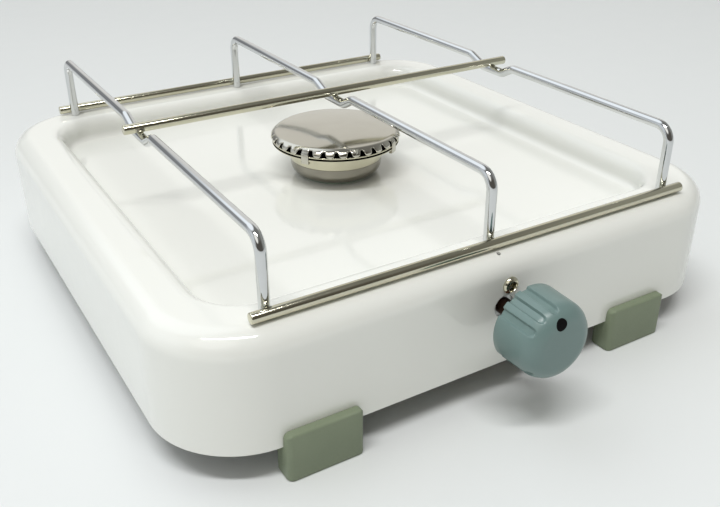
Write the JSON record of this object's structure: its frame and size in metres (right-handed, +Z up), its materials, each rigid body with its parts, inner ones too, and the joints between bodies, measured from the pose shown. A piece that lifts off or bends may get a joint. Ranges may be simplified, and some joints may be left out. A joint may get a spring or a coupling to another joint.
{
  "type": "single burner gas stove",
  "caption": "Low square enamelled table stove with rounded corners, a sunken tray, a round gas burner, a wire pan support, a front tap knob and clip-on feet.",
  "frame": {"origin": "on the floor, under the middle of the casing", "axes": "+X to the right seen from the knob's side, +Y to the back, +Z up"},
  "size_m": [0.312, 0.385, 0.1101],
  "materials": {
    "enamel": "gloss vitreous enamel, warm white",
    "foot_rubber": "satin moulded, sage green",
    "chrome": "bright plated wire",
    "burner_steel": "satin pressed steel",
    "tube_steel": "zinc plated",
    "cast_alloy": "as cast",
    "brass": "turned",
    "copper": "drawn copper tube",
    "seal_fibre": "matt sealing ring",
    "knob_plastic": "satin moulded, grey teal",
    "dot_plastic": "black insert"
  },
  "bodies": {
    "stove": {"casing": "enamel", "front_left_foot": "foot_rubber", "front_right_foot": "foot_rubber", "rear_left_foot": "foot_rubber", "rear_right_foot": "foot_rubber", "burner_cap": "burner_steel", "burner_cup": "burner_steel", "burner_seal": "seal_fibre", "burner_nut": "brass", "burner_elbow": "cast_alloy", "mixing_tube": "tube_steel", "injector": "brass", "valve_body": "brass", "valve_cover": "tube_steel", "valve_cover_screws": "tube_steel", "valve_screw": "chrome", "gas_pipe": "copper", "pipe_nut_front": "brass", "pipe_nut_rear": "brass", "pipe_olives": "brass", "hose_nozzle": "brass", "nozzle_locknut": "brass", "nozzle_washer": "tube_steel"},
    "tap": {"valve_plug": "brass"},
    "knob": {"spindle": "brass", "spindle_spring": "tube_steel", "knob": "knob_plastic", "knob_dot": "dot_plastic"},
    "grid": {"grid_wire_left": "chrome", "grid_wire_middle": "chrome", "grid_wire_right": "chrome", "grid_rod_front": "chrome", "grid_rod_middle": "chrome", "grid_rod_rear": "chrome"}
  },
  "joints": [
    {"name": "tap_turn", "type": "hinge", "parent": "stove", "child": "tap", "pos_m": [0, -0.1335, 0.048], "axis": [0, -1, 0], "range_deg": [0, 210]},
    {"name": "knob_push", "type": "slide", "parent": "tap", "child": "knob", "axis": [0, 1, 0], "range_m": [0, 0.003], "stiffness_N_per_m": 800, "springref_m": -0.004, "deforming": ["spindle_spring"]},
    {"name": "grid_lift", "type": "slide", "parent": "stove", "child": "grid", "axis": [0, 0, 1], "range_m": [0, 0.06]}
  ]
}
